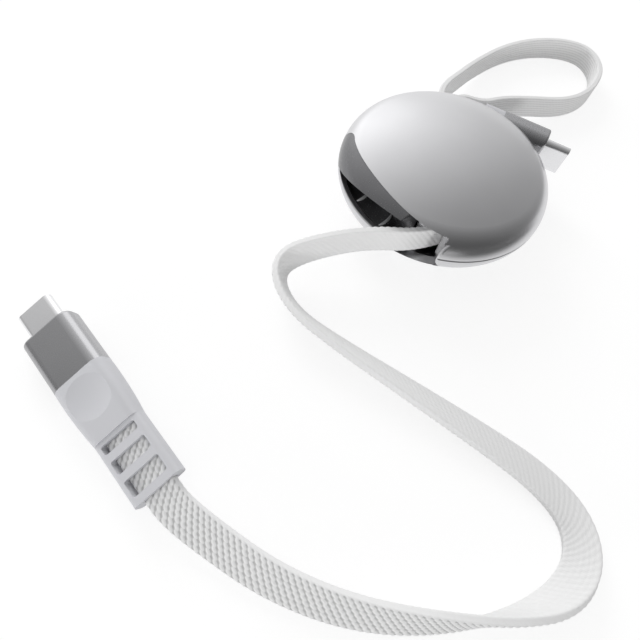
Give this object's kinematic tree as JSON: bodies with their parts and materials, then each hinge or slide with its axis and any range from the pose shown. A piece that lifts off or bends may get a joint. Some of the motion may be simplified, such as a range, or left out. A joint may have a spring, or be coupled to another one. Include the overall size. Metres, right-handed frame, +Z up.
{
  "type": "retractable charging cable",
  "caption": "Round pebble case with a spring reel that winds in a flat braided charging ribbon, with a plug on the ribbon, another fixed in the rim and a braided wrist strap.",
  "frame": {"origin": "centre of the base pad's underside, on the table and on the reel's axis", "axes": "+Z up along the reel's axis, +X towards the rear plug's tip, the ribbon leaves towards -X and -Y"},
  "size_m": [0.131, 0.1859, 0.0222],
  "materials": {
    "case_silver": "satin silver",
    "dark_chrome": "dark mirror chrome",
    "base_rubber": "matt",
    "steel": "turned and brushed",
    "reel_plastic": "moulded, fine grain",
    "roller_plastic": "smooth, low sheen",
    "braid_white": "flat herringbone braid",
    "board_green": "coated circuit board",
    "contact_brass": "plated",
    "carrier_plastic": "moulded",
    "flex_film": "amber film",
    "plug_steel": "bright drawn steel",
    "insert_plastic": "moulded",
    "barrel_grey": "satin grey, fine blasted",
    "relief_pale": "soft, pale grey"
  },
  "bodies": {
    "case": {"upper_shell": "case_silver", "lower_shell": "case_silver", "dock_liner": "dark_chrome", "base_pad": "base_rubber", "centre_screw": "steel", "reel_axle": "steel", "retaining_ring": "steel", "mainspring": "steel", "pawl_pin": "steel", "roller_pin_inner": "steel", "roller_pin_outer": "steel", "strap_pin": "steel", "pulled_ribbon": "braid_white", "wrist_strap": "braid_white", "slip_ring_board": "board_green", "slip_rings": "contact_brass", "rear_flex": "flex_film", "front_plug_shell": "plug_steel", "rear_plug_shell": "plug_steel", "front_plug_insert": "insert_plastic", "rear_plug_insert": "insert_plastic", "front_plug_barrel": "barrel_grey", "rear_plug_barrel": "barrel_grey", "front_plug_relief": "relief_pale", "rear_plug_boot": "relief_pale"},
    "reel": {"reel_drum": "reel_plastic", "reel_cover": "reel_plastic", "wound_ribbon": "braid_white", "brush_carrier": "carrier_plastic", "brush_fingers": "contact_brass"},
    "pawl": {"ratchet_pawl": "steel"},
    "roller_inner": {"guide_roller_inner": "roller_plastic"},
    "roller_outer": {"guide_roller_outer": "roller_plastic"}
  },
  "joints": [
    {"name": "reel_spin", "type": "hinge", "parent": "case", "child": "reel", "pos_m": [0, 0, 0.01094], "axis": [0, 0, 1], "range_deg": [-1230, 720], "deforming": ["mainspring"]},
    {"name": "pawl_pivot", "type": "hinge", "parent": "case", "child": "pawl", "pos_m": [0.02002, -0.00729, 0.00684], "axis": [0, 0, 1], "range_deg": [0, 12]},
    {"name": "roller_inner_spin", "type": "hinge", "parent": "case", "child": "roller_inner", "pos_m": [-0.00328, -0.02011, 0.01094], "axis": [0, 0, 1], "continuous": true},
    {"name": "roller_outer_spin", "type": "hinge", "parent": "case", "child": "roller_outer", "pos_m": [0.0032, -0.02108, 0.01094], "axis": [0, 0, 1], "continuous": true}
  ]
}
